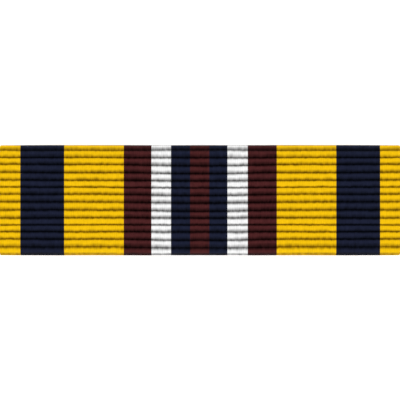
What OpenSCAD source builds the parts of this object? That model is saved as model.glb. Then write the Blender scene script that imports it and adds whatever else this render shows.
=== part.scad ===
// Ribbon bar: a striped ribbon of ribbed weave, wrapped round a folded metal
// bar. The metal bar slides on a plate with two posts, which go through the
// cloth of a garment and take a butterfly clutch each.
// Millimetres. +X runs along the bar, +Y points to its upper long edge and +Z
// out of its front. The origin is on the surface that the clutches stand on,
// under the middle of the bar.

/* [Bar] */
// Length of the bar, which is the width of the ribbon
bar_l = 34.925; // [32:0.005:45]
// Height of the bar over the ribbon
bar_h = 9.525; // [8.8:0.005:14]

/* [Ribbon] */
// Thickness of the ribbon over a rib
ribbon_t = 0.46; // [0.36:0.01:0.6]
// Depth of the furrow between two ribs
furrow_d = 0.2; // [0.05:0.01:0.26]
// Mean width of a rib
rib_w = 0.65; // [0.45:0.01:1.2]
// How far the pattern of ribs sits below the middle of the front
rib_drop = 0.175; // [0:0.005:0.5]
// Gap between the ribbon and the metal that it is wrapped round
wrap_gap = 0.03; // [0.01:0.01:0.1]

/* [Channel bar] */
// Thickness of the sheet metal
sheet_t = 0.35; // [0.2:0.01:0.5]
// Inside radius of the folds
fold_r = 0.15; // [0.05:0.01:0.4]
// Height of the slot between the two lips
slot_h = 4.5; // [4:0.1:5.2]
// How far the metal ends short of each end of the ribbon
sheet_inset = 0.3; // [0:0.05:0.6]

/* [Post bar] */
// Thickness of the plate that slides in the channel
plate_t = 0.6; // [0.4:0.05:1]
// Radius of the plate's corners
plate_corner_r = 1; // [0.2:0.1:2]
// How far the plate ends short of each end of the channel bar
plate_inset = 0.7; // [0:0.1:1]
// Gap over and under the plate in the channel
slide_gap = 0.08; // [0.03:0.01:0.2]
// Distance of each post from its end of the plate
post_inset = 4.56; // [4:0.01:8]
// Diameter of a post
post_d = 1.1; // [0.8:0.05:1.4]
// How far a post comes through the hub of its clutch
post_reach = 1.8; // [1.4:0.1:2]
// Length of the pointed end of a post
point_l = 1; // [0.5:0.1:1.3]
// Diameter of the solder round the foot of a post
solder_d = 2; // [1.6:0.1:2.6]
// Height of the solder
solder_l = 0.35; // [0.2:0.05:0.5]

/* [Clutches] */
// Height of a clutch
clutch_h = 4.6; // [4.4:0.1:5.2]
// Diameter of the cap
cap_d = 8.6; // [7.6:0.1:9]
// Thickness of the cap's metal
cap_t = 0.4; // [0.3:0.05:0.5]
// Depth of the rim that is turned back round the cap
rim_l = 1.1; // [0.8:0.1:1.4]
// Diameter of the hub that grips the post
hub_d = 2.8; // [2.4:0.1:3.2]
// Length of the hub under the cap
hub_l = 1.5; // [1:0.1:1.8]
// Gap between a post and the bore of its clutch
grip_gap = 0.05; // [0.02:0.01:0.15]
// Thickness of a wing
wing_t = 0.4; // [0.3:0.05:0.55]
// Width of a wing where it leaves the cap
wing_root_w = 3.4; // [2.6:0.1:4.4]
// Width of a wing at its end
wing_w = 5.8; // [4.6:0.1:7]
// How far a wing reaches from the middle of the post
wing_reach = 5.1; // [4.6:0.1:5.4]
// Slant of a wing away from the post, in degrees
wing_slant = 22; // [8:1:24]
// Radius of the bend between a wing and the foot that it stands on
foot_r = 0.5; // [0.3:0.05:0.7]
// Radius of the curl at the end of a wing
curl_r = 0.4; // [0.3:0.05:0.6]
// Turn of the curl, in degrees
curl_turn = 50; // [30:1:70]
// Room for the cloth of the garment between the ribbon and a clutch
garment_gap = 1; // [0.3:0.1:1.5]

/* [Hidden] */

// Facets of the parts that are turned
$fn = 64;
// Points on each rib's outline, and the largest step of a fold, in degrees
rib_points = 6;
fold_step = 15;

// Colours: the gold of the ribbon, the folded brass and the plated parts
gold = [0.95, 0.72, 0.05];
brass = [0.8, 0.6, 0.3];
nickel = [0.72, 0.71, 0.68];

// Widths of the ribs down the front, as shares of the mean one. The row is
// repeated beyond the front.
rib_shares = [
    0.93, 0.95, 1.08, 1.02, 0.98, 0.94, 1.03,
    1.08, 1.03, 0.94, 0.93, 0.99, 0.99, 1,
];

// Heights in the stack, from the surface upwards
ribbon_back_z = clutch_h + garment_gap;
lip_z = ribbon_back_z + ribbon_t + wrap_gap;
plate_z = lip_z + sheet_t + wrap_gap + ribbon_t + slide_gap;
front_z = plate_z + plate_t + slide_gap + sheet_t;

// The folded bar, from the middle of its section
sheet_h = bar_h - 2 * (ribbon_t + wrap_gap);
sheet_l = bar_l - 2 * sheet_inset;
fold_out_r = fold_r + sheet_t;
fold_y = sheet_h / 2 - fold_out_r;
lip_y = slot_h / 2;
channel_y = sheet_h / 2 - sheet_t;

// The plate, which is as high as the flat of the channel between its folds
plate_l = sheet_l - 2 * plate_inset;
plate_h = 2 * min(fold_y, channel_y - slide_gap);
post_x = plate_l / 2 - post_inset;
hub_z = clutch_h - cap_t - hub_l;
post_l = plate_z - hub_z + post_reach;

// The ribbon's middle line, above the metal's face
middle_d = wrap_gap + (ribbon_t - furrow_d) / 2;

// Length of an arc of the middle line round metal of radius r
function arc_l(r, turn) = (r + middle_d) * turn * PI / 180;

// Stretches of the ribbon from the middle of the front to a raw end:
// [length, turn in degrees]
RUN_LENGTH = 0;
RUN_TURN = 1;
wrap_runs = [
    [fold_y, 0],
    [arc_l(fold_out_r, 90), 90],
    [front_z - lip_z - 2 * fold_out_r, 0],
    [arc_l(fold_out_r, 90), 90],
    [fold_y - lip_y, 0],
    [arc_l(sheet_t / 2, 180), 180],
    [fold_y - lip_y, 0],
];
LIP_RUN = 4;
TUCK_RUN = 6;

// Distance along the ribbon to the end of stretch i
function run_end(i) =
    i < 0 ? 0 : wrap_runs[i][RUN_LENGTH] + run_end(i - 1);

// Point [y, z] at distance s from the middle of the front, along the upper half
// of the ribbon, and d above the metal's outer face
function upper_point(s, d, run = 0) =
    run < TUCK_RUN && s > run_end(run) ? upper_point(s, d, run + 1) :
    let (
        past = s - run_end(run - 1),
        turned = past / wrap_runs[run][RUN_LENGTH] * wrap_runs[run][RUN_TURN],
        r = (run == 5 ? sheet_t / 2 : fold_out_r) + d
    )
    run == 0 ? [past, front_z + d] :
    run == 1 ? [fold_y + r * sin(turned), front_z - fold_out_r + r * cos(turned)] :
    run == 2 ? [fold_y + r, front_z - fold_out_r - past] :
    run == 3 ? [fold_y + r * cos(turned), lip_z + fold_out_r - r * sin(turned)] :
    run == 4 ? [fold_y - past, lip_z - d] :
    run == 5 ? [lip_y - r * sin(turned), lip_z + sheet_t / 2 - r * cos(turned)] :
    [lip_y + past, lip_z + sheet_t + d];

// The same point on the whole ribbon, where s runs down the front
function wrap_point(s, d) =
    let (p = upper_point(abs(s), d))
    [s > 0 ? -p[0] : p[0], p[1]];

// Distances at which the line bends, as far as the end of stretch last
function stations(last) = [
    for (run = [0:last])
        let (steps = max(1, ceil(wrap_runs[run][RUN_TURN] / fold_step)))
        for (i = [1:steps])
            run_end(run - 1) + wrap_runs[run][RUN_LENGTH] * i / steps
];

function reversed(list) = [for (i = [len(list) - 1:-1:0]) list[i]];

// A line d above the metal, as far as the end of stretch last on both sides
function wrap_line(last, d) =
    let (half = stations(last))
    [
        for (s = reversed(half)) wrap_point(-s, d),
        for (s = half) wrap_point(s, d)
    ];

// Distance of furrow k from the middle of the front
rib_count = len(rib_shares);
function shares_to(k) = k == 0 ? 0 : rib_shares[k - 1] + shares_to(k - 1);
repeat_l = rib_w * shares_to(rib_count);
function furrow(k) =
    let (repeat = floor(k / rib_count))
    repeat * repeat_l + rib_w * shares_to(k - repeat * rib_count)
    - repeat_l / 2 + rib_drop;

// The ribbed face of the ribbon
function rib_line() =
    let (
        end = run_end(TUCK_RUN),
        reach = ceil((end + repeat_l) / repeat_l) * rib_count,
        valley = wrap_gap + ribbon_t - furrow_d
    )
    [
        wrap_point(-end, valley),
        for (k = [-reach:reach], i = [0:rib_points - 1])
            let (
                turned = 180 * i / rib_points,
                s = furrow(k)
                    + (furrow(k + 1) - furrow(k)) * (1 - cos(turned)) / 2
            )
            if (abs(s) < end - rib_w / rib_points)
                wrap_point(s, valley + furrow_d * sin(turned)),
        wrap_point(end, valley)
    ];

// A section [y, z] drawn out along the bar
module along_bar(length) {
    rotate([90, 0, 90])
        linear_extrude(height = length, center = true)
            children();
}

// One cloth, which is ribbed from one long edge of the bar to the other and has
// its raw ends tucked into the channel
module ribbon() {
    color(gold)
        along_bar(bar_l)
            polygon(concat(rib_line(), reversed(wrap_line(TUCK_RUN, wrap_gap))));
}

// Sheet metal, folded over at both long edges
module channel_bar() {
    color(brass)
        along_bar(sheet_l)
            polygon(concat(
                wrap_line(LIP_RUN, 0),
                reversed(wrap_line(LIP_RUN, -sheet_t))
            ));
}

// A flat plate with its corners rounded
module plate(length, height, corner_r) {
    inner = [length / 2 - corner_r, height / 2 - corner_r];
    linear_extrude(height = plate_t) {
        square([length, 2 * inner[1]], center = true);
        square([2 * inner[0], height], center = true);
        for (x = [-1, 1], y = [-1, 1])
            translate([x * inner[0], y * inner[1]])
                circle(r = corner_r);
    }
}

// A post that points down from the plate, with solder round its foot
module post() {
    rotate_extrude()
        polygon([
            [0, 0],
            [solder_d / 2, 0],
            [post_d / 2, -solder_l],
            [post_d / 2, point_l - post_l],
            [0, -post_l],
        ]);
}

// The plate in the channel, with its posts soldered on
module post_bar() {
    color(nickel)
        translate([0, 0, plate_z]) {
            plate(plate_l, plate_h, plate_corner_r);
            for (side = [-1, 1])
                translate([side * post_x, 0, 0])
                    post();
        }
}

// Points of an arc about c, from angle a to angle b
function arc(c, r, a, b, steps = 6) = [
    for (i = [0:steps])
        let (t = a + (b - a) * i / steps)
        c + r * [cos(t), sin(t)]
];

// A wing in section [x, z]: it leaves the cap beside the hub, slants away from
// the post, turns into a flat foot and curls up at its end
module wing_section() {
    slant = 180 + wing_slant;
    foot_z = wing_t + foot_r;
    fall = clutch_h - cap_t - foot_z;
    foot_x = hub_d / 2 + foot_z / cos(wing_slant) + fall * tan(wing_slant);
    foot_c = [foot_x, foot_z];
    curl_x = wing_reach - (curl_r + wing_t) * sin(curl_turn);
    curl_c = [max(curl_x, foot_x), wing_t + curl_r];
    rise = [-tan(wing_slant), 1] * (clutch_h - cap_t / 2 - foot_z);
    polygon(concat(
        [foot_c + rise - [foot_z / cos(wing_slant), 0]],
        arc(foot_c, foot_z, slant, 270),
        arc(curl_c, curl_r + wing_t, 270, 270 + curl_turn),
        arc(curl_c, curl_r, 270 + curl_turn, 270),
        arc(foot_c, foot_r, 270, slant),
        [foot_c + rise - [foot_r / cos(wing_slant), 0]]
    ));
}

// Both wings seen along the post: they widen outwards and have round ends
module wing_outline() {
    right = [
        [hub_d / 2, wing_root_w / 2],
        [wing_reach, wing_w / 2],
        [wing_reach, -wing_w / 2],
        [hub_d / 2, -wing_root_w / 2],
    ];
    intersection() {
        polygon(concat(right, [for (p = right) -p]));
        circle(r = wing_reach);
    }
}

// A butterfly clutch about its post: a cap with a hub and two wings
module clutch() {
    bore_r = post_d / 2 + grip_gap;
    rim_z = clutch_h - rim_l;
    difference() {
        union() {
            rotate_extrude()
                polygon([
                    [0, hub_z],
                    [hub_d / 2, hub_z],
                    [hub_d / 2, clutch_h - cap_t],
                    [cap_d / 2 - cap_t, clutch_h - cap_t],
                    [cap_d / 2 - cap_t, rim_z],
                    [cap_d / 2, rim_z],
                    [cap_d / 2, clutch_h - cap_t],
                    [cap_d / 2 - cap_t, clutch_h],
                    [0, clutch_h],
                ]);
            intersection() {
                for (turn = [0, 180])
                    rotate([90, 0, turn])
                        linear_extrude(height = wing_w, center = true)
                            wing_section();
                linear_extrude(height = clutch_h) wing_outline();
            }
        }
        translate([0, 0, -1])
            cylinder(r = bore_r, h = clutch_h + 2);
    }
}

module clutch_left() {
    color(brass)
        translate([-post_x, 0, 0])
            clutch();
}

module clutch_right() {
    color(brass)
        translate([post_x, 0, 0])
            clutch();
}

ribbon();
channel_bar();
post_bar();
clutch_left();
clutch_right();
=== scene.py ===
"""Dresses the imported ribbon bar: its woven band, its folded bar, its posts and its clutches."""

import logging
import math
from dataclasses import dataclass
from enum import Enum
from typing import Callable, Iterable, NamedTuple, Sequence

import bmesh
import bpy
import numpy as np
from mathutils import Matrix, Vector


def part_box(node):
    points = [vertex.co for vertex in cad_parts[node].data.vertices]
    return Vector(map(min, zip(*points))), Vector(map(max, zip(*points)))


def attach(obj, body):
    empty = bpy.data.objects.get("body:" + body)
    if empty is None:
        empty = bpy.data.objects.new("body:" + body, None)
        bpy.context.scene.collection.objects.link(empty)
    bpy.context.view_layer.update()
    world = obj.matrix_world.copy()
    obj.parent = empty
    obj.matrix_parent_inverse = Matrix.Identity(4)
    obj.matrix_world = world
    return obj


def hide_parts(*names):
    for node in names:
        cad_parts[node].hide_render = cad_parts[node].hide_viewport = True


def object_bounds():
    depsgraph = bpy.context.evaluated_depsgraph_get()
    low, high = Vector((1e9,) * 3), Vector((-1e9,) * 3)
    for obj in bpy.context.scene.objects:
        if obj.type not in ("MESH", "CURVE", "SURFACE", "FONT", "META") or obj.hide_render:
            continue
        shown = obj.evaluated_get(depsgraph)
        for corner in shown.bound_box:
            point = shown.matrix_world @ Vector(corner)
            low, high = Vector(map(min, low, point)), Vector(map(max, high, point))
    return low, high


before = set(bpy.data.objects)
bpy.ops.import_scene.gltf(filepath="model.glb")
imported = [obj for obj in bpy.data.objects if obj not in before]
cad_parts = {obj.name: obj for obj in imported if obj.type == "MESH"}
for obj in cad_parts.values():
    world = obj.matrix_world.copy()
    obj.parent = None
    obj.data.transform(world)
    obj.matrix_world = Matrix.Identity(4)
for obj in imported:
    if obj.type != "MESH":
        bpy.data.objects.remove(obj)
CAD_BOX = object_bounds()

log = logging.getLogger("ribbon_bar")
MM = 0.001
ON_AXIS = 1e-9
CUT_EDGE = math.radians(50)
SMOOTH_METAL = math.radians(42)
SMOOTH_CLOTH = math.radians(80)

Colour = tuple[float, float, float]
Point = tuple[float, float]


class Field:
    """A number in a node tree, which makes Math nodes from ordinary arithmetic."""

    def __init__(self, tree: bpy.types.NodeTree, socket: bpy.types.NodeSocket) -> None:
        """Keeps the output socket that gives the number, and the tree that holds it."""
        self.tree = tree
        self.socket = socket

    def apply(self, operation: str, *others: "Field | float") -> "Field":
        """Adds one Math node that reads this number first.

        Args:
            operation: The Math node's operation.
            others: The numbers in its other sockets.

        Returns:
            The node's result.
        """
        node = self.tree.nodes.new("ShaderNodeMath")
        node.operation = operation
        for place, value in enumerate((self, *others)):
            if isinstance(value, Field):
                self.tree.links.new(value.socket, node.inputs[place])
            else:
                node.inputs[place].default_value = value
        return Field(self.tree, node.outputs[0])

    def __add__(self, other: "Field | float") -> "Field":
        """Returns the sum."""
        return self.apply("ADD", other)

    def __sub__(self, other: "Field | float") -> "Field":
        """Returns the difference."""
        return self.apply("SUBTRACT", other)

    def __mul__(self, other: "Field | float") -> "Field":
        """Returns the product."""
        return self.apply("MULTIPLY", other)

    def __truediv__(self, other: "Field | float") -> "Field":
        """Returns the quotient."""
        return self.apply("DIVIDE", other)

    def __pow__(self, other: "Field | float") -> "Field":
        """Returns the power."""
        return self.apply("POWER", other)

    def __abs__(self) -> "Field":
        """Returns the size without its sign."""
        return self.apply("ABSOLUTE")

    def taken_from(self, start: float) -> "Field":
        """Returns start less this number."""
        return (self * -1.0) + start

    def clamped(self) -> "Field":
        """Returns the number held between 0 and 1."""
        return self.apply("MAXIMUM", 0.0).apply("MINIMUM", 1.0)

    def faded(self) -> "Field":
        """Returns the number held between 0 and 1, with both ends made soft."""
        held = self.clamped()
        return held * held * (held * -2.0 + 3.0)


class NodeTree:
    """A node tree, with a short way to add nodes."""

    def __init__(self, tree: bpy.types.NodeTree) -> None:
        """Keeps the tree that the nodes go into."""
        self.tree = tree

    def node(
        self, kind: str, links: dict[str | int, object] | None = None, **settings: object
    ) -> bpy.types.Node:
        """Adds a node.

        Args:
            kind: The node's type.
            links: What goes into its sockets: a Field, a socket or a plain value.
            settings: The node's own properties.

        Returns:
            The new node.
        """
        node = self.tree.nodes.new(kind)
        for name, value in settings.items():
            setattr(node, name, value)
        for place, value in (links or {}).items():
            value = value.socket if isinstance(value, Field) else value
            if isinstance(value, bpy.types.NodeSocket):
                self.tree.links.new(value, node.inputs[place])
            else:
                node.inputs[place].default_value = value
        return node

    def result(
        self, kind: str, links: dict[str | int, object] | None = None, **settings: object
    ) -> bpy.types.NodeSocket:
        """Adds a node as the method above does, and returns its first output."""
        return self.node(kind, links, **settings).outputs[0]


class GeometryTree(NodeTree):
    """A Geometry Nodes tree whose sizes are named inputs."""

    def __init__(self, name: str) -> None:
        """Starts a tree that takes geometry in and gives geometry out.

        Args:
            name: The tree's name.
        """
        super().__init__(bpy.data.node_groups.new(name, "GeometryNodeTree"))
        self._socket("Geometry", "NodeSocketGeometry", "INPUT")
        self._socket("Geometry", "NodeSocketGeometry", "OUTPUT")
        self.source = self.tree.nodes.new("NodeGroupInput")
        self.sink = self.tree.nodes.new("NodeGroupOutput")
        self.values: dict[str, object] = {}

    def _socket(self, name: str, kind: str, side: str) -> bpy.types.NodeTreeInterfaceSocket:
        """Adds a socket to the tree's interface and returns it."""
        return self.tree.interface.new_socket(name, in_out=side, socket_type=kind)

    def input(self, name: str, value: object, kind: str) -> bpy.types.NodeSocket:
        """Adds a named input with the value that its modifier will give it.

        Args:
            name: The input's name.
            value: What the modifier sets it to.
            kind: The socket's type.

        Returns:
            The socket that carries it inside the tree.
        """
        socket = self._socket(name, kind, "INPUT")
        self.values[socket.identifier] = value
        return self.source.outputs[name]

    def size(self, name: str, value: float) -> Field:
        """Adds a named number and returns it."""
        return Field(self.tree, self.input(name, value, "NodeSocketFloat"))

    def attribute(self, name: str) -> Field:
        """Returns the number that the mesh holds under a name."""
        named = self.result("GeometryNodeInputNamedAttribute", {"Name": name}, data_type="FLOAT")
        return Field(self.tree, named)

    def noise(self, across: Field, along: Field, seed: Field, detail: float = 1.0) -> Field:
        """Adds smooth noise.

        Args:
            across: The place across the band.
            along: The place along the band.
            seed: A number that chooses the noise.
            detail: How many finer layers it has.

        Returns:
            The noise, from -1 to 1.
        """
        place = self.result("ShaderNodeCombineXYZ", {0: across, 1: along})
        noise = self.result(
            "ShaderNodeTexNoise",
            {"Vector": place, "W": seed, "Scale": 1.0, "Detail": detail},
            noise_dimensions="4D",
        )
        return (Field(self.tree, noise) - 0.5) * 2.0

    def finish(self, geometry: bpy.types.NodeSocket) -> None:
        """Sends the geometry out of the tree."""
        self.tree.links.new(geometry, self.sink.inputs[0])

    def baked(self, base: bpy.types.Object, name: str) -> bpy.types.Object:
        """Runs the tree on an object and keeps the result as a plain mesh.

        Args:
            base: The object that the tree works on, which is removed.
            name: The name of the result.

        Returns:
            An object at the origin with the finished mesh.
        """
        modifier = base.modifiers.new(name, "NODES")
        modifier.node_group = self.tree
        for identifier, value in self.values.items():
            modifier[identifier] = value
        evaluated = base.evaluated_get(bpy.context.evaluated_depsgraph_get())
        mesh = bpy.data.meshes.new_from_object(evaluated)
        mesh.name = name
        bpy.data.objects.remove(base)
        return shown(name, mesh)


class FinishTree(NodeTree):
    """The node tree of one material, round its Principled shader."""

    def __init__(self, name: str) -> None:
        """Starts a material.

        Args:
            name: The material's name.
        """
        self.material = bpy.data.materials.new(name)
        self.material.use_nodes = True
        super().__init__(self.material.node_tree)
        self.shader = self.tree.nodes["Principled BSDF"]

    def constant(self, name: str, value: object) -> None:
        """Sets one of the shader's own sockets, the same all over the surface."""
        self.shader.inputs[name].default_value = value

    def feed(self, name: str, source: bpy.types.NodeSocket) -> None:
        """Links a node's result to one of the shader's sockets."""
        self.tree.links.new(source, self.shader.inputs[name])

    def attribute(self, name: str) -> Field:
        """Returns the number that the mesh holds under a name."""
        named = self.node("ShaderNodeAttribute", attribute_name=name)
        return Field(self.tree, named.outputs["Fac"])

    def noise(self, place: bpy.types.NodeSocket, scale: float, detail: float) -> Field:
        """Returns smooth noise from 0 to 1, with scale waves to each unit of the place."""
        links = {"Vector": place, "Scale": scale, "Detail": detail}
        return Field(self.tree, self.result("ShaderNodeTexNoise", links))

    def mixed(self, share: Field, plain: Colour, other: Iterable[float]) -> bpy.types.NodeSocket:
        """Returns the plain colour mixed with the other one's share, which is from 0 to 1."""
        links = {"A": (*plain, 1.0), "B": (*other, 1.0), "Factor": share}
        return self.node("ShaderNodeMix", links, data_type="RGBA").outputs["Result"]

    def bump(self, height: Field, depth: float) -> None:
        """Gives the surface a fine relief, whose height is a share of the depth."""
        self.feed("Normal", self.result("ShaderNodeBump", {"Distance": depth, "Height": height}))


class Yarn(Enum):
    """The dyed warp yarns, by their place in the band's list of finishes."""

    GOLD = 0
    NAVY = 1
    MAROON = 2
    WHITE = 3


class Waves(NamedTuple):
    """Noise on the weave: waves to a thread and to a rib, shift at each rib, and layers."""

    thread: float
    rib: float
    shift: float = 0.0
    detail: float = 2.0


@dataclass(frozen=True)
class YarnFinish:
    """Silky warp yarn of one colour, with painted shade where it dives between two ribs.

    The painted shade of a furrow of weight 1 reaches furrow_above mm up from its line and
    furrow_below mm down, wider above, as light from above leaves the lower side of each rib in
    shade. The line strays by about ragged mm.
    """

    name: str
    colour: Colour
    # tint that the colour is multiplied by where the painted furrow shade is darkest
    painted_shade_tint: Colour
    roughness: float = 0.7
    gloss: float = 0.03
    furrow_above: float = 0.3
    furrow_below: float = 0.18
    furrow_shade: float = 0.93
    furrow_change: float = 0.45
    furrow_waves: Waves = Waves(0.3, 2.9)
    ragged: float = 0.078
    ragged_waves: Waves = Waves(0.22, 3.7)
    line_change: float = 0.5
    line_waves: Waves = Waves(0.07, 5.3, detail=1.0)
    mottle: float = 0.09
    mottle_waves: Waves = Waves(0.23, 0.7)
    thread_tone: float = 0.08
    thread_waves: Waves = Waves(0.5, 0.6, shift=0.5, detail=1.0)
    filament_tone: float = 0.16
    filament_height: float = 0.3
    filament_waves: Waves = Waves(4.5, 1.6, shift=3.0)
    groove_sharpness: float = 3.0
    groove_shade: float = 0.07
    groove_mean: float = 0.31
    groove_depth: float = 0.009 * MM

    def build(self) -> bpy.types.Material:
        """Builds the yarn's material.

        Returns:
            A material that reads the band's counts of ribs and threads.
        """
        finish = FinishTree(self.name)
        finish.constant("Roughness", self.roughness)
        finish.constant("Specular IOR Level", self.gloss)
        rib, thread = finish.attribute("rib"), finish.attribute("thread")
        over = ((thread + rib.apply("FLOOR")) * math.pi).apply("COSINE")
        groove = (over.taken_from(1.0) * 0.5) ** self.groove_sharpness
        mottle = self._noise(finish, self.mottle_waves, thread, rib) * self.mottle
        tone = self._noise(finish, self.thread_waves, thread, rib) * self.thread_tone
        filament = self._noise(finish, self.filament_waves, thread, rib)
        # painted shade in the grooves between threads, raised by its mean so a crest keeps its
        # brightness, times a tone that differs at random from thread to thread
        light = groove * -self.groove_shade + 1.0 + self.groove_shade * self.groove_mean
        light = light * (mottle + tone + filament * self.filament_tone + 1.0)
        # painted shade: each furrow is darkened towards the tint, standing in for the shadow
        # between the ribs
        painted_shade_colour = (c * t for c, t in zip(self.colour, self.painted_shade_tint))
        colour = finish.mixed(self._painted_furrow_shade(finish, thread, rib), self.colour, painted_shade_colour)
        lit = {0: colour, "Scale": light}
        finish.feed("Base Color", finish.result("ShaderNodeVectorMath", lit, operation="SCALE"))
        finish.bump(groove * -1.0 + filament * self.filament_height, self.groove_depth)
        return finish.material

    def _painted_furrow_shade(self, finish: FinishTree, thread: Field, rib: Field) -> Field:
        """Gives the painted shade of the furrows, each with its own ragged line.

        Args:
            finish: The material's tree.
            thread: The count of threads.
            rib: The count of ribs, which is whole in a furrow.

        Returns:
            The painted shade, from 0 on a rib to 1 in a furrow.
        """
        row = (rib + 0.5).apply("FLOOR")
        ragged = self._noise(finish, self.ragged_waves, thread, row) * self.ragged
        weight = self._noise(finish, self.line_waves, thread, row) * self.line_change
        weight = weight + finish.attribute("furrow")
        past = (rib - row) * finish.attribute("rib_size") + ragged
        below = (past / (weight * self.furrow_below)).taken_from(1.0)
        above = (past / (weight * self.furrow_above)) + 1.0
        shade = self._noise(finish, self.furrow_waves, thread, row) * self.furrow_change
        shade = shade + self.furrow_shade
        return (below.apply("MINIMUM", above).faded() * shade).clamped()

    @staticmethod
    def _noise(finish: FinishTree, waves: Waves, thread: Field, rib: Field) -> Field:
        """Adds noise on the weave.

        Args:
            finish: The material's tree.
            waves: The size of the noise.
            thread: The count of threads.
            rib: The count of ribs.

        Returns:
            The noise, from about -1 to 1.
        """
        across = thread * waves.thread
        if waves.shift:
            across = across + rib.apply("FLOOR") * waves.shift
        place = finish.result("ShaderNodeCombineXYZ", {0: across, 1: rib * waves.rib})
        return (finish.noise(place, 1.0, waves.detail) - 0.5) * 2.0


@dataclass(frozen=True)
class MetalFinish:
    """Sheet metal with a cloudy polish, dulled in patches and finely scratched."""

    name: str
    colour: Colour
    roughness: float
    grain: tuple[float, float, float] = (1.0, 1.0, 1.0)
    cloud: float = 0.12
    cloud_size: float = 2.2 * MM
    cloud_detail: float = 4.0
    tarnish: Colour = (0.27, 0.36, 0.48)
    tarnish_share: float = 0.3
    tarnish_spread: float = 2.4
    scratches: float = 9.0
    scratch_detail: float = 6.0
    scratch_depth: float = 0.0025 * MM

    def build(self) -> bpy.types.Material:
        """Builds the metal's material.

        Returns:
            A material that reads Object coordinates.
        """
        finish = FinishTree(self.name)
        finish.constant("Metallic", 1.0)
        place = finish.node("ShaderNodeTexCoord").outputs["Object"]
        rolled = finish.result("ShaderNodeMapping", {"Vector": place, "Scale": self.grain})
        cloud = finish.noise(place, 1.0 / self.cloud_size, self.cloud_detail)
        scratch = finish.noise(rolled, self.scratches / self.cloud_size, self.scratch_detail)
        rough = (cloud - 0.5) * (2.0 * self.cloud) + self.roughness
        finish.feed("Roughness", rough.clamped().socket)
        dulled = (c * (1.0 - t) for c, t in zip(self.colour, self.tarnish))
        patch = ((cloud - 0.5) * self.tarnish_spread + self.tarnish_share).clamped()
        finish.feed("Base Color", finish.mixed(patch, self.colour, dulled))
        finish.bump(scratch, self.scratch_depth)
        return finish.material


def shown(name: str, data: bpy.types.ID) -> bpy.types.Object:
    """Puts a mesh, a curve, a light or a camera in the scene, at the origin.

    Args:
        name: The name of its object.
        data: What the object shows.

    Returns:
        The object.
    """
    thing = bpy.data.objects.new(name, data)
    bpy.context.scene.collection.objects.link(thing)
    return thing


def arc(centre: Point, radius: float, start: float, end: float, steps: int) -> list[Point]:
    """Gives points along an arc.

    Args:
        centre: The arc's centre.
        radius: Its radius.
        start: The angle of the first point, in degrees.
        end: The angle of the last point, in degrees.
        steps: How many pieces it is cut into.

    Returns:
        The points, ends included.
    """
    angles = (math.radians(start + (end - start) * i / steps) for i in range(steps + 1))
    return [(centre[0] + radius * math.cos(a), centre[1] + radius * math.sin(a)) for a in angles]


@dataclass(frozen=True)
class Wrap:
    """The line that the band follows round the folded bar, in the plane across it."""

    box_low: Vector
    box_high: Vector
    cloth: float = 0.46 * MM
    valley: float = 0.302 * MM
    gap: float = 0.03 * MM
    sheet: float = 0.35 * MM
    fold: float = 0.15 * MM
    slot: float = 4.5 * MM
    steps: int = 18

    @property
    def front(self) -> float:
        """Height of the metal's front face."""
        return self.box_high.z - self.cloth - self.gap

    @property
    def lip(self) -> float:
        """Height of the lips' back faces."""
        return self.box_low.z + self.cloth + self.gap

    @property
    def fold_out(self) -> float:
        """Outside radius of the metal's folds."""
        return self.fold + self.sheet

    @property
    def fold_y(self) -> float:
        """Distance from the middle at which the folds begin."""
        return self.box_high.y - self.cloth - self.gap - self.fold_out

    @property
    def tuck(self) -> float:
        """Length of the end that is tucked in between the lip and the plate."""
        return self.fold_y - self.slot / 2

    @property
    def middle(self) -> float:
        """Height of the cloth's middle line over the metal."""
        return self.gap + self.valley / 2

    def half(self, depth: float, to_lip: bool = False) -> list[Point]:
        """Follows the upper half from the middle of the front.

        Args:
            depth: Distance of the line from the metal's outer face.
            to_lip: Ends at the edge of the lip instead of going round it.

        Returns:
            Points across the bar, as distance from the middle and height.
        """
        out, fold_y = self.fold_out, self.fold_y
        lip_y = self.slot / 2
        points = [(0.0, self.front + depth)]
        points += arc((fold_y, self.front - out), out + depth, 90, 0, self.steps)
        points += arc((fold_y, self.lip + out), out + depth, 0, -90, self.steps)
        if to_lip:
            return [*points, (lip_y, self.lip - depth)]
        centre = (lip_y, self.lip + self.sheet / 2)
        points += arc(centre, self.sheet / 2 + depth, 270, 90, 2 * self.steps)
        return [*points, (fold_y, self.lip + self.sheet + depth)]

    def whole(self, depth: float, to_lip: bool = False) -> list[Point]:
        """Follows the whole line, from the upper end down the front to the lower end."""
        half = self.half(depth, to_lip)
        return half[:0:-1] + [(-y, z) for y, z in half[1:]]

    def curve(self) -> bpy.types.Object:
        """Makes the cloth's middle line as a curve that a node tree can sample.

        Returns:
            The curve's object, which is taken away when the band is done.
        """
        points = self.whole(self.middle)
        data = bpy.data.curves.new("wrap_line", "CURVE")
        data.dimensions = "3D"
        spline = data.splines.new("POLY")
        spline.points.add(len(points) - 1)
        for point, (y, z) in zip(spline.points, points):
            point.co = (0.0, y, z, 1.0)
        return shown("wrap_line", data)

    @property
    def length(self) -> float:
        """Length of the band from raw end to raw end."""
        points = self.whole(self.middle)
        return sum(math.dist(a, b) for a, b in zip(points, points[1:]))


class Rib(NamedTuple):
    """A rib's size in mm, and of the furrow above it the weight of its painted shade, the zigzag
    and the sag in mm.
    """

    size: float
    furrow: float
    zigzag: float
    sag: float


class Stripe(NamedTuple):
    """A stripe's width in mm and its yarn."""

    width: float
    yarn: Yarn


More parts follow.
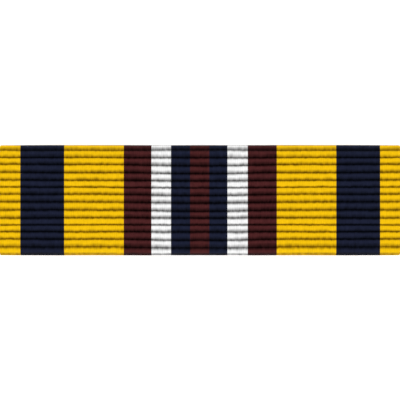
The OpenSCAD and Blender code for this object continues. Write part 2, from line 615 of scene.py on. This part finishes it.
@dataclass
class RibbonBand:
    """The woven band: striped warp over thick weft, which gives ribs along the bar.

    The cloth thins to edge_thickness of itself at a selvedge, whose notches reach notch_reach
    times its radius inwards. Each noise adds a number of its own to the seed.
    """

    wrap: Wrap
    finishes: dict[Yarn, YarnFinish]
    width: float
    first_furrow: float = -4.224
    ribs: tuple[Rib, ...] = (
        Rib(0.507, 1.17, 0.6, -0.01),
        Rib(0.596, 1.00, 0.6, 0.045),
        Rib(0.707, 1.15, 1.0, 0.14),
        Rib(0.667, 1.26, 1.0, 0.11),
        Rib(0.621, 1.21, 2.0, 0.065),
        Rib(0.598, 0.84, 0.6, 0.06),
        Rib(0.664, 1.16, 1.0, 0.12),
        Rib(0.704, 1.33, 1.2, 0.1),
        Rib(0.689, 1.33, 2.2, 0.12),
        Rib(0.610, 1.31, 1.0, 0.02),
        Rib(0.593, 0.73, 0.5, 0.02),
        Rib(0.632, 1.09, 0.8, 0.02),
        Rib(0.633, 1.07, 0.8, 0.1),
        Rib(0.690, 1.25, 1.0, 0.07),
        Rib(0.640, 1.90, 0.8, 0.04),
    )
    stripes: tuple[Stripe, ...] = (
        Stripe(1.842, Yarn.GOLD),
        Stripe(3.810, Yarn.NAVY),
        Stripe(5.185, Yarn.GOLD),
        Stripe(2.402, Yarn.MAROON),
        Stripe(1.703, Yarn.WHITE),
        Stripe(1.657, Yarn.NAVY),
        Stripe(1.676, Yarn.MAROON),
        Stripe(1.573, Yarn.NAVY),
        Stripe(1.768, Yarn.WHITE),
        Stripe(2.522, Yarn.MAROON),
        Stripe(5.173, Yarn.GOLD),
        Stripe(3.810, Yarn.NAVY),
        Stripe(1.807, Yarn.GOLD),
    )
    rib_height: float = 0.2 * MM
    rib_rows: int = 6
    crest_width: float = 2.6
    crest_round: float = 0.55
    swell: float = 0.12
    thread: float = 0.08 * MM
    float_depth: float = 0.012 * MM
    float_reach: float = 0.005 * MM
    ragged: float = 0.016 * MM
    ragged_length: float = 0.24 * MM
    ragged_rows: float = 7.3
    ragged_power: float = 2.0
    wander: float = 0.06 * MM
    wander_length: float = 5.0 * MM
    wander_ribs: float = 0.5
    wander_detail: float = 2.0
    sag_width: float = 4.3 * MM
    sag_power: float = 3.0
    pressed: float = 0.3
    press_start: float = 0.3
    edge_radius: float = 0.12 * MM
    edge_columns: tuple[float, ...] = (0.62, 0.29, 0.08)
    edge_thickness: float = 0.6
    edge_notch: float = 0.02 * MM
    notch_reach: float = 3.0
    end_margin: float = 0.03 * MM
    seed: float = 1.3
    swell_seed: float = 5.0
    ragged_seed: float = 9.0

    def columns(self) -> tuple[list[float], list[float], list[Yarn]]:
        """Lays out the warp threads across the band, with finer steps at its selvedges.

        Returns:
            The place of each column, its count of threads from the selvedge, and the yarn
            between it and the next one.
        """
        scale = self.width / sum(stripe.width for stripe in self.stripes)
        places, threads, yarns = [-self.width / 2], [0.0], []
        for stripe in self.stripes:
            width = stripe.width * scale
            count = round(width / self.thread)
            start, first = places[-1], threads[-1]
            for i in range(1, count + 1):
                places.append(start + width * i / count)
                threads.append(first + i)
                yarns.append(stripe.yarn)
        for share in self.edge_columns:
            inset = share * self.edge_radius
            places = [places[0], places[0] + inset, *places[1:-1], places[-1] - inset, places[-1]]
            step = inset / self.thread
            threads = [threads[0], step, *threads[1:-1], threads[-1] - step, threads[-1]]
            yarns = [yarns[0], *yarns, yarns[-1]]
        return places, threads, yarns

    def furrow(self, index: int) -> float:
        """Gives the place of a furrow down the front.

        Args:
            index: The furrow's number. The table of ribs starts over past its ends.

        Returns:
            The distance from the middle of the front.
        """
        turns, rest = divmod(index, len(self.ribs))
        sizes = [rib.size for rib in self.ribs]
        return (self.first_furrow + turns * sum(sizes) + sum(sizes[:rest])) * MM

    def rib_at(self, count: float) -> Rib:
        """Gives the rib at a place in the count of ribs."""
        return self.ribs[math.floor(count) % len(self.ribs)]

    def sag_at(self, count: float) -> float:
        """Gives the sag at a place in the count of ribs, in metres."""
        part = count % 1.0
        return (self.rib_at(count).sag * (1 - part) + self.rib_at(count + 1).sag * part) * MM

    def rows(self) -> tuple[list[float], list[float]]:
        """Lays out the rows along the band.

        Returns:
            The distance of each row down from the middle of the front, and its place in the
            count of ribs.
        """
        end = self.wrap.length / 2
        reach = 2 * len(self.ribs)
        places, ribs = [], []
        for index in range(-reach, reach + 1):
            start, stop = self.furrow(index), self.furrow(index + 1)
            for step in range(self.rib_rows):
                part = (1 - math.cos(math.pi * step / self.rib_rows)) / 2
                place = start + (stop - start) * part
                if abs(place) < end - self.end_margin:
                    places.append(place)
                    ribs.append(index + part)
        first = ribs[0] - (places[0] + end) / (self.rib_at(ribs[0]).size * MM)
        last = ribs[-1] + (end - places[-1]) / (self.rib_at(ribs[-1]).size * MM)
        return [-end, *places, end], [first, *ribs, last]

    def blank(self) -> bpy.types.Object:
        """Makes the flat band as a closed slab, with the numbers that the weave needs.

        Each row has a point for every column of its face, and two for its back.

        Returns:
            An object whose mesh lies flat: across it is x, along it is y.
        """
        xs, threads, yarns = self.columns()
        ys, ribs = self.rows()
        wide, long = len(xs), len(ys)
        base = wide * long
        under = self.edge_radius / 2
        backs = (xs[0] + under, xs[-1] - under)
        points = [(x, y, 0.0) for y in ys for x in xs]
        points += [(x, y, 0.0) for y in ys for x in backs]
        faces, kinds = [], []
        for j in range(long - 1):
            left, right, low = j * wide, j * wide + wide - 1, base + 2 * j
            faces += [(a, a + wide, a + wide + 1, a + 1) for a in range(left, right)]
            faces.append((low, low + 1, low + 3, low + 2))
            faces.append((left, low, low + 2, left + wide))
            faces.append((right, right + wide, low + 3, low + 1))
            kinds += [yarn.value for yarn in yarns] + [yarns[0].value] * 3
        last = (long - 1) * wide
        end = base + 2 * (long - 1)
        faces.append((*range(wide), base + 1, base))
        faces.append((end, end + 1, *range(last + wide - 1, last - 1, -1)))
        kinds += [yarns[0].value] * 2

        mesh = bpy.data.meshes.new("band_blank")
        mesh.from_pydata(points, [], faces)
        numbers = {
            "thread": threads * long + [threads[0], threads[-1]] * long,
            "lift": [1.0] * base + [0.0] * (len(backs) * long),
        }
        by_row = {
            "rib": ribs,
            "rib_size": [self.rib_at(r).size for r in ribs],
            # weight of the painted shade of the nearest furrow
            "furrow": [self.rib_at(r + 0.5).furrow for r in ribs],
            "zigzag": [self.rib_at(r + 0.5).zigzag for r in ribs],
            "sag": [self.sag_at(r) for r in ribs],
        }
        for name, values in by_row.items():
            numbers[name] = [v for v in values for _ in xs] + [v for v in values for _ in backs]
        for name, values in numbers.items():
            mesh.attributes.new(name, "FLOAT", "POINT").data.foreach_set("value", values)
        mesh.attributes.new("yarn", "INT", "FACE").data.foreach_set("value", kinds)
        flat = np.array([points[loop.vertex_index][:2] for loop in mesh.loops]) / MM
        mesh.uv_layers.new(name="weave").data.foreach_set("uv", flat.ravel())
        return shown("band_blank", mesh)

    def build(self) -> bpy.types.Object:
        """Makes the finished band and puts it in the place of its solid.

        Returns:
            The band.
        """
        tree = WeaveTree(self)
        tree.weave({yarn: finish.build() for yarn, finish in self.finishes.items()})
        band = tree.baked(self.blank(), "woven_ribbon")
        band.data.set_sharp_from_angle(angle=SMOOTH_CLOTH)
        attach(band, "root")
        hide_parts("ribbon")
        self.wrap.length
        bpy.data.objects.remove(bpy.data.objects["wrap_line"])
        return band


class WeaveTree(GeometryTree):
    """The tree that weaves the flat band and folds it round the bar."""

    def __init__(self, band: RibbonBand) -> None:
        """Reads the place and the numbers of each point of the flat band.

        Args:
            band: The band, whose sizes the tree's inputs are given.
        """
        super().__init__("woven_band")
        self.band = band
        place = self.node("ShaderNodeSeparateXYZ", {0: self.result("GeometryNodeInputPosition")})
        self.across = Field(self.tree, place.outputs["X"])
        self.along = Field(self.tree, place.outputs["Y"])
        self.rib = self.attribute("rib")
        self.lift = self.attribute("lift")
        self.part = self.rib - self.rib.apply("FLOOR")
        self.from_crest = abs(self.part * 2.0 - 1.0)
        crest = (self.from_crest ** band.crest_width).taken_from(1.0).clamped()
        self.crest = crest ** band.crest_round
        thread = self.attribute("thread") + self.rib.apply("FLOOR")
        self.over = (thread * math.pi).apply("COSINE")
        self.half_length = self.size("Half length", band.wrap.length / 2)
        self.inset = self.size("Half width", band.width / 2) - abs(self.across)
        self.edge_radius = self.size("Selvedge radius", band.edge_radius)
        self.seed = self.size("Seed", band.seed)
        self.wander_at = (
            abs(self.across) / self.size("Length of the wander", band.wander_length),
            self.rib * band.wander_ribs,
        )

    def down(self) -> Field:
        """Gives each point's way down the band, with the waves and sag of the ribs.

        Returns:
            The distance from the middle of the front.
        """
        band = self.band
        wander = self.noise(*self.wander_at, self.seed, band.wander_detail)
        wander = wander * self.size("Wander of the ribs", band.wander)
        sag = abs(self.across) / self.size("Width of the sag", band.sag_width)
        sag = (sag ** band.sag_power * -0.5).apply("EXPONENT") * self.attribute("sag")
        across = self.across / self.size("Length of the raggedness", band.ragged_length)
        row = (self.rib + 0.5).apply("FLOOR") * band.ragged_rows
        ragged = self.noise(across, row, self.seed + band.ragged_seed)
        ragged = ragged * self.size("Raggedness of a furrow", band.ragged)
        ragged = ragged * self.from_crest ** band.ragged_power
        dive = (self.part * math.pi).apply("COSINE") * self.over
        dive = dive * self.size("Reach into a furrow", band.float_reach)
        shift = wander + sag + (ragged - dive) * self.attribute("zigzag")
        return self.along + shift * self.lift

    def height(self) -> Field:
        """Gives each point's height over the metal: ribs, threads and round selvedges.

        Returns:
            The height, which is less where the ends are pressed under the plate.
        """
        band = self.band
        rim = (self.inset / self.edge_radius).clamped().taken_from(1.0)
        rounding = (rim * rim).taken_from(1.0).apply("SQRT")
        tuck = self.size("Tucked length", band.wrap.tuck)
        tucked = (abs(self.along) - self.half_length + tuck) / (tuck * band.press_start)
        pressed = tucked.clamped() * self.size("Flattening of the tucked ends", band.pressed)
        swell = self.noise(*self.wander_at, self.seed + band.swell_seed) * band.swell + 1.0
        relief = self.size("Rib height", band.rib_height) * self.crest * swell
        relief = relief * pressed.taken_from(1.0)
        threads = self.size("Depth between threads", band.float_depth) * (self.over - 1.0)
        relief = relief + threads * self.crest * 0.5
        share = rounding * (1.0 - band.edge_thickness) + band.edge_thickness
        body = self.size("Cloth in a furrow", band.wrap.valley) * share + relief * rounding
        return self.size("Gap to the metal", band.wrap.gap) + body * self.lift

    def sideways(self) -> Field:
        """Gives each point's place along the bar.

        Returns:
            The place, with a notch where a furrow meets a selvedge.
        """
        near_edge = (self.inset / (self.edge_radius * self.band.notch_reach)).clamped()
        notch = self.size("Selvedge notch", self.band.edge_notch) * near_edge.taken_from(1.0)
        notch = notch * self.crest.taken_from(1.0) * self.lift
        return self.across - notch * self.across.apply("SIGN")

    def folded(self) -> bpy.types.NodeSocket:
        """Lays each point along the line round the bar.

        Returns:
            The socket that carries the point's place.
        """
        line = self.input("Wrap line", self.band.wrap.curve(), "NodeSocketObject")
        curve = self.node("GeometryNodeObjectInfo", {"Object": line}, transform_space="ORIGINAL")
        spot = self.node(
            "GeometryNodeSampleCurve",
            {"Curves": curve.outputs["Geometry"], "Length": self.down() + self.half_length},
            mode="LENGTH",
            use_all_curves=True,
        )
        tangent, kind = spot.outputs["Tangent"], "ShaderNodeVectorMath"
        out = self.result(kind, {0: tangent, 1: (1.0, 0.0, 0.0)}, operation="CROSS_PRODUCT")
        out = self.result(kind, {0: out}, operation="NORMALIZE")
        rise = self.height() - self.size("Middle line", self.band.wrap.middle)
        raised = self.result(kind, {0: out, "Scale": rise}, operation="SCALE")
        beside = self.result("ShaderNodeCombineXYZ", {0: self.sideways()})
        base = self.result(kind, {0: spot.outputs["Position"], 1: beside}, operation="ADD")
        return self.result(kind, {0: base, 1: raised}, operation="ADD")

    def weave(self, materials: dict[Yarn, bpy.types.Material]) -> None:
        """Moves the flat band's points to their places and gives each yarn its finish.

        Args:
            materials: The finish of each yarn.
        """
        geometry = self.result(
            "GeometryNodeSetPosition",
            {"Geometry": self.source.outputs["Geometry"], "Position": self.folded()},
        )
        geometry = self.result("GeometryNodeSetShadeSmooth", {"Geometry": geometry})
        geometry = self.result("GeometryNodeRealizeInstances", {"Geometry": geometry})
        named = self.node("GeometryNodeInputNamedAttribute", {"Name": "yarn"}, data_type="INT")
        number = next(s for s in named.outputs if s.enabled and s.name == "Attribute")
        first_whole, second_whole = 2, 3
        for yarn, material in materials.items():
            chosen = self.result(
                "FunctionNodeCompare",
                {first_whole: number, second_whole: yarn.value},
                data_type="INT",
                operation="EQUAL",
            )
            geometry = self.result(
                "GeometryNodeSetMaterial",
                {"Geometry": geometry, "Selection": chosen, "Material": material},
            )
        self.finish(geometry)


def filleted(corners: Sequence[tuple[float, float, float]], steps: int) -> list[Point]:
    """Rounds the corners of a closed outline.

    Args:
        corners: Each corner's place and the radius that rounds it.
        steps: How many pieces each rounding is cut into.

    Returns:
        The points of the rounded outline.
    """
    points: list[Point] = []
    for index, (x, y, radius) in enumerate(corners):
        here = Vector((x, y))
        before = (Vector(corners[index - 1][:2]) - here).normalized()
        after = (Vector(corners[(index + 1) % len(corners)][:2]) - here).normalized()
        half = before.angle(after) / 2
        reach = radius / math.tan(half)
        centre = here + (before + after).normalized() * radius / math.sin(half)
        start = here + before * reach - centre
        turn = start.angle_signed(here + after * reach - centre)
        for step in range(steps + 1):
            angle = -turn * step / steps
            points.append(tuple(centre + Matrix.Rotation(angle, 2) @ start))
    return points


def lathed(profile: Sequence[Point], centre: Point, segments: int) -> bmesh.types.BMesh:
    """Turns a closed outline round an upright axis.

    Args:
        profile: The outline, as distance from the axis and height. It may touch the axis.
        centre: Where the axis stands.
        segments: How many steps there are round it.

    Returns:
        The turned solid.
    """
    solid = bmesh.new()
    turns = [2 * math.pi * step / segments for step in range(segments)]
    rings = []
    for radius, height in profile:
        if radius < ON_AXIS:
            rings.append([solid.verts.new((*centre, height))] * segments)
            continue
        ring = ((centre[0] + radius * math.cos(a), centre[1] + radius * math.sin(a)) for a in turns)
        rings.append([solid.verts.new((*place, height)) for place in ring])
    for low, high in zip(rings, rings[1:] + rings[:1]):
        for step in range(segments):
            after = (step + 1) % segments
            ring = [low[step], low[after], high[after], high[step]]
            corners = [v for place, v in enumerate(ring) if v not in ring[:place]]
            if len(corners) > 2:
                solid.faces.new(corners)
    bmesh.ops.recalc_face_normals(solid, faces=solid.faces)
    return solid


def drawn_out(
    outline: Sequence[Point], lift: Callable[[Point, float], Vector], ends: Point
) -> bmesh.types.BMesh:
    """Draws a closed outline out into a solid.

    Args:
        outline: The points of the outline.
        lift: Places a point of the outline at a distance along the solid.
        ends: The distances of the two ends.

    Returns:
        The solid.
    """
    solid = bmesh.new()
    low, high = ([solid.verts.new(lift(point, end)) for point in outline] for end in ends)
    solid.faces.new(low)
    solid.faces.new(high)
    for place in range(len(outline)):
        solid.faces.new((low[place - 1], low[place], high[place], high[place - 1]))
    bmesh.ops.recalc_face_normals(solid, faces=solid.faces)
    return solid


def eased(solid: bmesh.types.BMesh, radius: float) -> bmesh.types.BMesh:
    """Rounds the sharp edges of a solid, and gives its wide faces a rim that keeps them flat.

    Args:
        solid: The solid, which is changed.
        radius: The radius of its edges.

    Returns:
        The same solid.
    """
    steps = 3
    wide_area = 20 * radius * radius
    rim = 0.3 * radius
    sharp = [e for e in solid.edges if e.calc_face_angle(0.0) > CUT_EDGE]
    bmesh.ops.bevel(
        solid, geom=sharp, offset=radius, segments=steps, profile=0.5,
        affect="EDGES", clamp_overlap=True,
    )
    wide = [f for f in solid.faces if len(f.verts) > 4 or f.calc_area() > wide_area]
    bmesh.ops.inset_individual(solid, faces=wide, thickness=rim, use_even_offset=True)
    return solid


def joined(name: str, solids: Iterable[bmesh.types.BMesh]) -> bpy.types.Object:
    """Joins solids into one piece of the scene.

    Args:
        name: The name of the piece.
        solids: The solids, which are freed.

    Returns:
        The piece, with smooth faces.
    """
    whole = bmesh.new()
    for solid in solids:
        part = bpy.data.meshes.new(name)
        solid.to_mesh(part)
        solid.free()
        whole.from_mesh(part)
        bpy.data.meshes.remove(part)
    mesh = bpy.data.meshes.new(name)
    whole.to_mesh(mesh)
    whole.free()
    mesh.shade_smooth()
    mesh.set_sharp_from_angle(angle=SMOOTH_METAL)
    return shown(name, mesh)


def dressed(
    piece: bpy.types.Object, node: str, material: bpy.types.Material
) -> bpy.types.Object:
    """Gives a piece its finish and puts it in the place of a solid.

    Args:
        piece: The piece.
        node: The name of the solid that it stands for.
        material: The finish.

    Returns:
        The same piece.
    """
    piece.data.materials.append(material)
    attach(piece, "root")
    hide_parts(node)
    return piece


@dataclass
class ChannelBar:
    """Sheet metal folded over at both long edges, which the band is wrapped round."""

    wrap: Wrap
    length: float
    finish: MetalFinish
    edge: float = 0.06 * MM

    def build(self) -> bpy.types.Object:
        """Makes the folded bar and puts it in the place of its solid.

        Returns:
            The folded bar.
        """
        outer = self.wrap.whole(0.0, to_lip=True)
        inner = self.wrap.whole(-self.wrap.sheet, to_lip=True)
        ends = (-self.length / 2, self.length / 2)
        solid = drawn_out(outer + inner[::-1], lambda p, x: Vector((x, *p)), ends)
        piece = joined("folded_bar", [eased(solid, self.edge)])
        return dressed(piece, "channel_bar", self.finish.build())


@dataclass
class PostBar:
    """The flat plate that slides in the channel, with its two posts soldered on."""

    low: Vector
    high: Vector
    finish: MetalFinish
    thickness: float = 0.6 * MM
    corner: float = 1.0 * MM
    corner_steps: int = 10
    edge: float = 0.07 * MM
    post_inset: float = 4.56 * MM
    post_radius: float = 0.55 * MM
    point: float = 1.0 * MM
    tip: float = 0.07 * MM
    tip_steps: int = 5
    shoulder: float = 0.05 * MM
    shoulder_inset: float = 0.02 * MM
    solder_radius: float = 1.0 * MM
    solder_height: float = 0.35 * MM
    groove_depth: float = 0.07 * MM
    groove_above_point: float = 0.35 * MM
    groove_width: float = 0.22 * MM
    curve_steps: int = 8
    segments: int = 48

    @property
    def posts(self) -> tuple[float, float]:
        """Places of the posts along the bar."""
        place = self.high.x - self.post_inset
        return -place, place

    def _plate(self) -> bmesh.types.BMesh:
        """Makes the plate.

        Returns:
            The plate, with round corners and edges.
        """
        x, y = self.high.x, self.high.y
        corners = [(i * x, j * y, self.corner) for i, j in ((1, 1), (-1, 1), (-1, -1), (1, -1))]
        outline = filleted(corners, self.corner_steps)
        sides = (self.high.z - self.thickness, self.high.z)
        return eased(drawn_out(outline, lambda p, z: Vector((*p, z)), sides), self.edge)

    def _post(self, place: float) -> bmesh.types.BMesh:
        """Makes one post, from inside the plate to its point.

        Args:
            place: Where it stands along the bar.

        Returns:
            The post, with its solder, its groove and its point.
        """
        radius, reach = self.post_radius, self.solder_radius - self.post_radius
        under = self.high.z - self.thickness
        shoulder = self.low.z + self.point
        groove = shoulder + self.groove_above_point
        inside = under + self.thickness / 2
        steps = self.curve_steps
        profile = [(0.0, inside), (self.solder_radius, inside)]
        for step in range(steps + 1):
            turn = math.pi / 2 * step / steps
            out = radius + reach * (1 - math.sin(turn))
            profile.append((out, under - self.solder_height * (1 - math.cos(turn))))
        for step in range(steps + 1):
            share = step / steps
            out = radius - self.groove_depth * math.sin(math.pi * share)
            profile.append((out, groove + self.groove_width * (1 - share)))
        profile.append((radius, shoulder + self.shoulder))
        profile.append((radius - self.shoulder_inset, shoulder - self.shoulder))
        slope = math.degrees(math.atan2(radius, self.point))
        tip = arc((0.0, self.low.z + self.tip), self.tip, -slope, -90, self.tip_steps)
        profile += [*tip[:-1], (0.0, tip[-1][1])]
        return lathed(profile, (place, 0.0), self.segments)

    def build(self) -> bpy.types.Object:
        """Makes the plate with its posts and puts it in the place of its solid.

        Returns:
            The plate with its posts.
        """
        solids = [self._plate(), *(self._post(place) for place in self.posts)]
        piece = joined("plate_with_posts", solids)
        return dressed(piece, "post_bar", self.finish.build())


@dataclass
class ButterflyClutch:
    """A cap with a hub that grips the post, and two wings that it stands on."""

    name: str
    node: str
    place: float
    material: bpy.types.Material
    height: float = 4.6 * MM
    sheet: float = 0.4 * MM
    cap_radius: float = 4.3 * MM
    cap_round: float = 0.4 * MM
    inner_round: float = 0.3 * MM
    rim: float = 1.1 * MM
    rim_round: float = 0.19 * MM
    hub: float = 1.5 * MM
    hub_radius: float = 1.4 * MM
    hub_round: float = 0.2 * MM
    bore: float = 0.6 * MM
    bore_round: float = 0.08 * MM
    mouth_round: float = 0.15 * MM
    round_steps: int = 6
    segments: int = 96
    wing_root: float = 3.4 * MM
    wing_end: float = 5.8 * MM
    wing_reach: float = 5.1 * MM
    wing_slant: float = 22.0
    wing_corner: float = 0.6 * MM
    foot_radius: float = 0.5 * MM
    foot_steps: int = 9
    curl_radius: float = 0.4 * MM
    curl_turn: float = 50.0
    curl_steps: int = 8
    edge: float = 0.09 * MM
    weld: float = 0.002 * MM
    tip_steps: int = 32
    fine_steps: int = 400

    def _cap(self) -> bmesh.types.BMesh:
        """Makes the cap.

        Returns:
            The cap, with its turned-back rim and its hub.
        """
        under = self.height - self.sheet
        hub_low = under - self.hub
        rim_low = self.height - self.rim
        inside = self.cap_radius - self.sheet
        outline = [
            (self.bore, hub_low, self.bore_round),
            (self.hub_radius, hub_low, self.hub_round),
            (self.hub_radius, under, self.hub_round),
            (inside, under, self.inner_round),
            (inside, rim_low, self.rim_round),
            (self.cap_radius, rim_low, self.rim_round),
            (self.cap_radius, under, self.cap_round),
            (inside, self.height, self.cap_round),
            (self.bore, self.height, self.mouth_round),
        ]
        return lathed(filleted(outline, self.round_steps), (self.place, 0.0), self.segments)

    def _middle_line(self) -> np.ndarray:
        """Follows the middle of a wing's metal from the cap down to the end of the curl.

        Returns:
            A row for each bend of the line: distance from the post, and height.
        """
        half = self.sheet / 2
        slant = math.radians(self.wing_slant)
        foot_z = self.sheet + self.foot_radius
        fall = self.height - self.sheet - foot_z
        foot_x = self.hub_radius + foot_z / math.cos(slant) + fall * math.tan(slant)
        turned = 180 + self.wing_slant
        foot = arc((foot_x, foot_z), self.foot_radius + half, turned, 270, self.foot_steps)
        curl_out = (self.curl_radius + self.sheet) * math.sin(math.radians(self.curl_turn))
        curl = (self.wing_reach - curl_out, self.sheet + self.curl_radius)
        end = arc(curl, self.curl_radius + half, 270, 270 + self.curl_turn, self.curl_steps)
        up = self.height - half - foot[0][1]
        return np.array([(foot[0][0] - up * math.tan(slant), self.height - half), *foot, *end])

    def _blank(self, line: np.ndarray, reach: np.ndarray) -> list[Point]:
        """Lays out the edge of a wing's flat blank, which widens to a round end.

        Args:
            line: The middle line.
            reach: The length of the middle line up to each of its bends.

        Returns:
            Points, as distance along the middle line and distance sideways.
        """
        along = np.linspace(0.0, reach[-1], self.fine_steps)
        out = np.interp(along, reach, line[:, 0])
        spread = (self.wing_end - self.wing_root) / 2 / (self.wing_reach - self.hub_radius)
        halves = self.wing_root / 2 + spread * (out - self.hub_radius)
        tip = []
        for step in range(self.tip_steps + 1):
            share = math.sin(math.pi * (step / self.tip_steps - 0.5))
            end = np.interp(out[-1], np.hypot(out, share * halves), along)
            near = max(0.0, 1 - (1 - abs(share)) * self.wing_end / 2 / self.wing_corner)
            end -= self.wing_corner * (1 - math.sqrt(1 - near * near))
            tip.append((end, share * np.interp(end, along, halves)))
        places = [0.0, *(reach[1:] + reach[:-1]) / 2]
        side = [(u, np.interp(u, along, halves)) for u in places if u < tip[0][0] - self.edge]
        return [(u, -half) for u, half in side] + tip + side[::-1]

    def _wing(self, side: int) -> bmesh.types.BMesh:
        """Makes one wing: a flat blank with rounded edges, bent along the middle line.

        Args:
            side: 1 for the wing towards +X, -1 for the other.

        Returns:
            The wing.
        """
        line = self._middle_line()
        steps = np.diff(line, axis=0)
        reach = np.concatenate([[0.0], np.cumsum(np.hypot(steps[:, 0], steps[:, 1]))])
        away = np.gradient(line, axis=0)
        away /= np.hypot(away[:, 0], away[:, 1])[:, None]
        outline, faces = self._blank(line, reach), (-self.sheet / 2, self.sheet / 2)
        wing = eased(drawn_out(outline, lambda p, z: Vector((*p, z)), faces), self.edge)
        for bend in reach[1:-1]:
            bmesh.ops.bisect_plane(
                wing, geom=[*wing.verts, *wing.edges, *wing.faces], dist=self.weld,
                plane_co=(bend, 0.0, 0.0), plane_no=(1.0, 0.0, 0.0),
            )
        bmesh.ops.remove_doubles(wing, verts=wing.verts, dist=self.weld)
        for corner in wing.verts:
            u, sideways, depth = corner.co
            x = np.interp(u, reach, line[:, 0] - depth * away[:, 1])
            z = np.interp(u, reach, line[:, 1] + depth * away[:, 0])
            corner.co = (self.place + side * x, side * sideways, z)
        return wing

    def build(self) -> bpy.types.Object:
        """Makes the clutch, puts it in the place of its solid and returns it."""
        piece = joined(self.name, [self._cap(), self._wing(1), self._wing(-1)])
        return dressed(piece, self.node, self.material)


@dataclass(frozen=True)
class Studio:
    """A pale floor, soft lights and a camera straight over the front of the bar."""

    frame_width: float = 34.77 * MM
    centre_rise: float = 0.0175 * MM
    distance: float = 0.55
    sensor: float = 36.0
    floor: float = 0.7
    floor_gap: float = 0.005 * MM
    floor_tone: float = 0.93
    floor_roughness: float = 0.9
    floor_gloss: float = 0.1
    floor_glow: float = 0.3
    world: float = 0.98
    key_place: tuple[float, float, float] = (0.0, 0.28, 0.48)
    key_power: float = 0.6
    fill_place: tuple[float, float, float] = (0.0, -0.33, 0.3)
    fill_power: float = 0.45
    lamp_size: float = 0.3

    def build(self) -> None:
        """Makes the floor, the lights and the camera."""
        self._floor()
        self._world()
        self._lamp("key", self.key_place, self.key_power)
        self._lamp("fill", self.fill_place, self.fill_power)
        self._camera()
        bpy.context.scene.view_settings.view_transform = "Standard"

    def _floor(self) -> None:
        """Makes the floor that the clutches stand on."""
        mesh = bpy.data.meshes.new("floor")
        edge, low = self.floor / 2, -self.floor_gap
        corners = [(-edge, -edge, low), (edge, -edge, low), (edge, edge, low), (-edge, edge, low)]
        mesh.from_pydata(corners, [], [(0, 1, 2, 3)])
        finish = FinishTree("pale_floor")
        finish.constant("Base Color", (self.floor_tone, self.floor_tone, self.floor_tone, 1.0))
        finish.constant("Roughness", self.floor_roughness)
        finish.constant("Specular IOR Level", self.floor_gloss)
        finish.constant("Emission Color", (1.0, 1.0, 1.0, 1.0))
        finish.constant("Emission Strength", self.floor_glow)
        mesh.materials.append(finish.material)
        shown("floor", mesh)

    def _world(self) -> None:
        """Makes the light that comes from all round."""
        world = bpy.data.worlds.new("soft_room")
        world.use_nodes = True
        back = world.node_tree.nodes["Background"]
        back.inputs["Color"].default_value = (1.0, 1.0, 1.0, 1.0)
        back.inputs["Strength"].default_value = self.world
        bpy.context.scene.world = world

    def _lamp(self, name: str, place: tuple[float, float, float], power: float) -> None:
        """Makes a wide soft light that points at the bar.

        Args:
            name: The light's name.
            place: Where it hangs, in metres.
            power: Its power in watts.
        """
        light = bpy.data.lights.new(name, "AREA")
        light.size = self.lamp_size
        light.energy = power
        lamp = shown(name, light)
        lamp.location = place
        lamp.rotation_euler = (-lamp.location).to_track_quat("-Z", "Y").to_euler()

    def _camera(self) -> None:
        """Makes the camera, which frames the bar from end to end."""
        data = bpy.data.cameras.new("camera")
        data.sensor_width = self.sensor
        data.lens = self.sensor * self.distance / self.frame_width
        camera = shown("camera", data)
        camera.location = (0.0, self.centre_rise, CAD_BOX[1][2] + self.distance)
        bpy.context.scene.camera = camera


# Each yarn's own colour, then the tint of its painted furrow shade.
YARNS = {
    Yarn.GOLD: YarnFinish(
        "gold_yarn", (0.755, 0.447, 0.0025), (0.3, 0.27, 0.12),
        furrow_above=0.28, furrow_below=0.153, furrow_change=0.6,
    ),
    Yarn.NAVY: YarnFinish(
        "navy_yarn", (0.0088, 0.0113, 0.0276), (0.11, 0.135, 0.14),
        furrow_above=0.325, furrow_below=0.19, mottle=0.3, thread_tone=0.2,
    ),
    Yarn.MAROON: YarnFinish(
        "maroon_yarn", (0.0575, 0.0126, 0.0131), (0.13, 0.08, 0.08),
        furrow_above=0.36, mottle=0.3, thread_tone=0.2,
    ),
    Yarn.WHITE: YarnFinish(
        "white_yarn", (0.775, 0.775, 0.775), (0.2, 0.2, 0.2), furrow_below=0.187
    ),
}
BAR_BRASS = MetalFinish("bar_brass", (0.78, 0.55, 0.26), 0.34, grain=(0.05, 1.0, 1.0))
CLUTCH_BRASS = MetalFinish("clutch_brass", (0.81, 0.55, 0.21), 0.22, cloud=0.16)
NICKEL = MetalFinish("post_nickel", (0.66, 0.64, 0.60), 0.3, grain=(0.05, 1.0, 1.0))


def main() -> None:
    """Builds the ribbon bar's pieces in order, reports each of them and sets up the studio."""
    logging.basicConfig(level=logging.INFO, format="%(name)s: %(message)s")
    low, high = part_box("ribbon")
    wrap = Wrap(low, high)
    pieces = [RibbonBand(wrap, YARNS, width=high.x - low.x).build()]
    low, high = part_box("channel_bar")
    pieces.append(ChannelBar(wrap, high.x - low.x, BAR_BRASS).build())
    bar = PostBar(*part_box("post_bar"), NICKEL)
    pieces.append(bar.build())
    brass = CLUTCH_BRASS.build()
    for side, place in zip(("left", "right"), bar.posts):
        clutch = ButterflyClutch(f"butterfly_clutch_{side}", f"clutch_{side}", place, brass)
        pieces.append(clutch.build())
    for piece in pieces:
        log.info("%s: %d faces", piece.name, len(piece.data.polygons))
    Studio().build()


if __name__ == "__main__":
    main()
